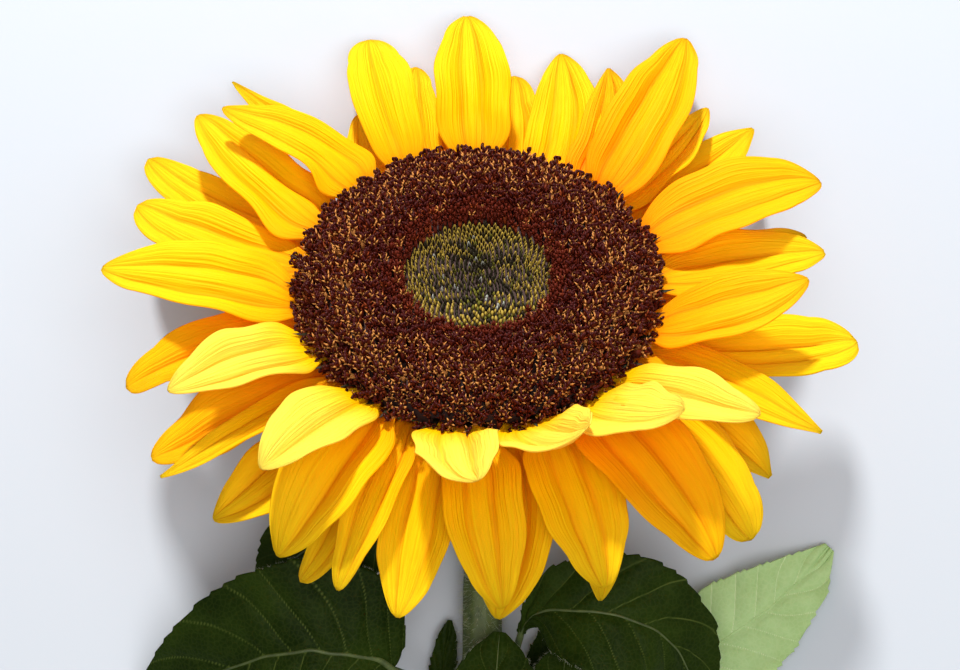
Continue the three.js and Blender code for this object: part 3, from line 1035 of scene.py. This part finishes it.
hair_white, _, _ = new_finish("hair_white", (0.6, 0.64, 0.46), 0.5)
chance = random.Random(23)
stem_hair_places = []
while len(stem_hair_places) < STEM_HAIRS:
    along = chance.uniform(0.02, 0.995) * STEM_ALONG
    row = int(along)
    angle = chance.uniform(0, math.tau)
    outward = ACROSS_FACE * math.cos(angle) + limb_upper[row] * math.sin(angle)
    root = limb_spine[row] + limb_along[row] * (along - row) * RING_STEP + outward * limb_radius[row] * 0.96
    lean = limb_along[row] * chance.uniform(-0.2, 0.5)
    direction = outward + lean + np.array([chance.gauss(0, 0.18) for _ in range(3)])
    size = chance.uniform(0.4, 1.25)
    if root[2] + direction[2] * HAIR_LENGTH * size > HAIR_FLOOR_GAP:
        stem_hair_places.append((point_along(direction, size), root))
join_copies("stem_hairs", build_hair, stem_hair_places, hair_white, smooth=False)

# ---- Leaves ----
# Each leaf is a thin pointed blade on a round stalk. A stout midrib runs on from the stalk, with pale side
# veins from it, the tissue swells between them, and the edge is toothed.
LEAF_THICKNESS = 0.0005
LEAF_ACROSS = 56
LEAF_ALONG = 150
LEAF_SMOOTHING = 0.02  # of its length
LEAF_CUTS = 90
STALK_REACH = 0.005  # an outline further than this from the stalk's middle is not the stalk's
STALK_STEPS = 120
STALK_SIDES = 10
VEIN_LEAN = 1.5  # side veins that a line square across half the blade would meet
SIDE_VEIN_WIDTH = 0.009
MIDRIB_WIDTH = 0.024  # of half the blade's width
EDGE_WAVE = 0.0022
TOOTH_PITCH = 0.0055
TOOTH_DEPTH = 0.0011
LEAVES = {
    # the midrib from the stem to the tip, measured from under the middle of the face; the width; the
    # share of the length that is stalk; pairs of side veins; puffed height; which way the face looks
    "leaf_left": (
        ((-9, -151, 10), (-32, -137, 34), (-56, -129, 45), (-83, -134, 38), (-130, -156, 2)),
        (68, 0.24, 8, 0.0014, (0.1, 0, 1)),
    ),
    "leaf_left_rear": (
        ((-10.5, -64, 19), (-34, -80, 30), (-60, -92, 24), (-84, -112, 2)),
        (40, 0.16, 7, 0.0011, (0, 0, 1)),
    ),
    "leaf_right": (
        ((11.4, -142, 12), (15, -129, 20), (20, -117, 37), (45, -115, 48), (70, -126, 40), (83, -154, 17)),
        (46, 0.26, 7, 0.0014, (0.1, 0.2, 1)),
    ),
    "leaf_right_far": (
        ((10.4, -170, 8), (42, -160, 7), (76, -141, 6), (98, -125, 8), (115, -113, 8), (134, -93, 2)),
        (42, 0.46, 6, 0.0011, (0, 0, 1)),
    ),
    "leaf_small_left": (
        ((-8.6, -178, 6), (-12.6, -162, 5), (-13.2, -142, 5), (-10.4, -121, 4)),
        (10, 0.2, 5, 0.0005, (0, 0, 1)),
    ),
    "leaf_small_front": (
        ((2, -190, 17.5), (4, -168, 28), (6, -147, 33), (8, -123, 26)),
        (34, 0.15, 5, 0.0009, (0, 0, 1)),
    ),
    "leaf_small_right": (
        ((11.8, -200, 12), (21, -178, 20), (29, -156, 23), (33, -128, 15)),
        (28, 0.2, 5, 0.0007, (0, 0, 1)),
    ),
    "leaf_small_rear": (
        ((10.6, -148, 4.5), (20, -140, 4), (30, -130, 3), (40, -118, 2)),
        (15, 0.2, 5, 0.0005, (0, 0, 1)),
    ),
}
UNDER_HEAD = HEAD_CENTRE * (1, 1, 0)


def cut_leaf(corners, edges, midrib, width, stalk_share, face_axis):
    """The cuts of a leaf, square to its midrib. Its midrib and its width are in millimetres."""
    rib = even_out(UNDER_HEAD + np.array(midrib) / 1000, LEAF_CUTS + 2, 0.04)
    along = ways_along(rib)
    cuts = []
    for number in range(1, LEAF_CUTS):
        reach = STALK_REACH if number < stalk_share * LEAF_CUTS else 0.62 * width / 1000
        found = cut_across(corners, edges, rib[number], along[number], face_axis, reach)
        if found is not None:
            cuts.append(found[1])
    return [np.array(part) for part in zip(*cuts)]


def leaf_finish(name, darkest, lightest, line, glow):
    """Leaf tissue: mottled between two greens, with a net of fine veins and paler main veins."""
    material, tree, shader = new_finish(name, lightest, 0.5)
    shader.inputs["Specular IOR Level"].default_value = 0.05
    place = add_node(tree, "TexCoord").outputs["Object"]
    patches = add_node(tree, "TexNoise", {"Vector": place, "Scale": 55.0, "Detail": 4.0}).outputs["Fac"]
    colour = add_ramp(tree, patches, [(0.3, darkest), (0.7, lightest)])
    net = add_node(tree, "TexVoronoi", {"Vector": place, "Scale": 520.0}, feature="DISTANCE_TO_EDGE")
    net_line = add_ramp(tree, net.outputs["Distance"], [(0.0, (0.16, 0.16, 0.16)), (0.15, (0, 0, 0))])
    vein = add_node(tree, "Attribute", attribute_name="vein").outputs["Fac"]
    vein_line = add_ramp(tree, vein, [(0.35, (0, 0, 0)), (0.85, (1, 1, 1))])
    for lines in (net_line, vein_line):
        parts = {"Factor": lines, "A": colour, "B": (*line, 1)}
        colour = add_node(tree, "Mix", parts, data_type="RGBA").outputs["Result"]
    tree.links.new(colour, shader.inputs["Base Color"])
    add_tissue(tree, shader, net.outputs["Distance"], 0.6, 0.0005, glow, 0.2)
    return material


# A shaded copy of the leaf tissue: painted shade, far darker than the leaves' own green, for the leaves
# that lie in the head's shadow.
leaf_green_painted_shade = leaf_finish(
    "leaf_green_painted_shade", (0.008, 0.018, 0.001), (0.022, 0.042, 0.003), (0.08, 0.11, 0.02), (0.05, 0.13, 0.004)
)
# A lit copy of the same tissue: painted light, paler than the leaves' own green, for the leaf that lies in
# full light.
leaf_pale_painted_light = leaf_finish(
    "leaf_pale_painted_light", (0.37, 0.54, 0.2), (0.5, 0.69, 0.31), (0.7, 0.8, 0.45), (0.45, 0.65, 0.12)
)


def vein_phase(t, v, pairs):
    """Counts the side veins along a blade, bent forwards at its edges. One lies at each whole number."""
    return t * pairs - VEIN_LEAN * np.abs(v) ** 0.85 + 0.25 * np.sign(v) + 0.4


def side_vein(pairs):
    """How near a place is to a vein: 1 on a side vein or the midrib, 0 far from them."""

    def measure(t, v):
        phase = vein_phase(t, v, pairs)
        across = np.abs(phase - np.rint(phase)) / pairs * 2
        side = np.exp(-((across / SIDE_VEIN_WIDTH) ** 2))
        return np.maximum(side, np.exp(-((v / MIDRIB_WIDTH) ** 2)))

    return measure


def leaf_relief(pairs, puff, chance):
    """The tissue swollen between the veins of one leaf, and its waved edges."""
    wave_count = chance.uniform(1.6, 2.6)
    wave_start = chance.uniform(0, math.tau)

    def relief(t, v, width, length):
        swell = np.abs(np.sin(np.pi * vein_phase(t, v, pairs))) ** 0.6
        swell = swell * np.clip(np.abs(v) * 6, 0, 1) * (1 - 0.5 * v**2)
        wave = np.sin(math.tau * wave_count * t + wave_start + 1.1 * np.sign(v)) * np.abs(v) ** 2.5
        return puff * (swell - 0.5) + EDGE_WAVE * wave * np.sin(np.pi * np.clip(t, 0, 1))

    return relief


def toothed(chance):
    """How much wider than its solid a leaf is: toothed at its very edge."""
    start = chance.uniform(0, 1)

    def outline(t, v, width, length):
        saw = (t * length / TOOTH_PITCH + start + 0.3 * np.sin(37 * t)) % 1
        tooth = TOOTH_DEPTH * 2 / np.maximum(width, 0.01) * (saw - 0.5)
        return 1 + tooth * np.abs(v) ** 10 * np.clip(6 * (1 - t), 0, 1)

    return outline


for number, (node, (midrib, leaf_sizes)) in enumerate(LEAVES.items()):
    width, stalk_share, pairs, puff, face = leaf_sizes
    chance = random.Random(300 + number)
    corners, edges = solid_corners(node)
    cuts = cut_leaf(corners, edges, midrib, width, stalk_share, unit(np.array(face)))
    blade_cuts = [part[int(stalk_share * len(part)) :] for part in cuts]
    relief = leaf_relief(pairs, puff, chance)
    outline = toothed(chance)
    leaf = blade_sheet(
        node + "_blade", blade_cuts, LEAF_ACROSS, LEAF_ALONG, LEAF_SMOOTHING, relief, outline
    )
    mark_corners(leaf, "vein", side_vein(pairs))
    give_thickness(leaf, LEAF_THICKNESS)
    # The leaf in full light gets the painted light copy, the others the painted shade copy.
    leaf.data.materials.append(leaf_pale_painted_light if node == "leaf_right_far" else leaf_green_painted_shade)
    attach(leaf, "root")
    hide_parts(node)
    spine = even_out(cuts[0], STALK_STEPS, 0.02)
    stalk_radius = 0.0008 + 0.022 * np.linalg.norm(cuts[1], axis=1).max()
    share = np.linspace(0, 1, STALK_STEPS)
    taper_places = (0, stalk_share, stalk_share + 0.1, 0.97)
    rib_radius = stalk_radius * np.interp(share, taper_places, (1.15, 1, 0.6, 0.15))
    rib_depth = rib_radius * np.interp(share, (stalk_share, stalk_share + 0.1), (0.2, 1.0))
    rib_place = spine - even_out(cuts[2], STALK_STEPS, 0.03) * rib_depth[:, None]
    rib_along = ways_along(rib_place)
    rib_side = np.cross(rib_along, (0, 0, 1.0))
    rib_side /= np.linalg.norm(rib_side, axis=1)[:, None]
    rib_upper = np.cross(rib_side, rib_along)
    rib = tube_along(
        node + "_stalk", rib_place, lambda row, around: rib_radius[row], rib_side, rib_upper, STALK_SIDES
    )
    # The stalk of the leaf in full light gets its painted light copy too.
    rib.data.materials.append(leaf_pale_painted_light if node == "leaf_right_far" else stem_green)
    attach(rib, "root")

# ---- Leaf hairs ----
# A fringe of short stiff hairs stands out all along the margins of the leaves. They are shorter copies
# of the stem's hairs, with their roots in both edges of every blade.
HAIRS_PER_LEAF = 700


def margin_hairs(sheet, across, chance):
    """Places for hairs along both edges of a sheet, pointing out of it."""
    corners = np.array([vertex.co for vertex in sheet.data.vertices]).reshape(-1, across + 1, 3)
    places = []
    for edge, inside in ((corners[:, 0], corners[:, 4]), (corners[:, -1], corners[:, -5])):
        for _ in range(HAIRS_PER_LEAF // 2):
            row = chance.uniform(1, len(edge) - 2)
            share = row % 1
            low = int(row)
            root = Vector(edge[low]).lerp(Vector(edge[low + 1]), share)
            out = (Vector(edge[low]) - Vector(inside[low])).normalized()
            direction = out + Vector([chance.gauss(0, 0.3) for _ in range(3)])
            size = chance.uniform(0.25, 0.5)
            if root.z + direction.z * HAIR_LENGTH * size > HAIR_FLOOR_GAP:
                places.append((point_along(direction, size), np.array(root)))
    return places


chance = random.Random(31)
leaf_hair_places = []
for node in LEAVES:
    leaf_hair_places += margin_hairs(bpy.data.objects[node + "_blade"], LEAF_ACROSS, chance)
join_copies("leaf_hairs", build_hair, leaf_hair_places, hair_white, smooth=False)
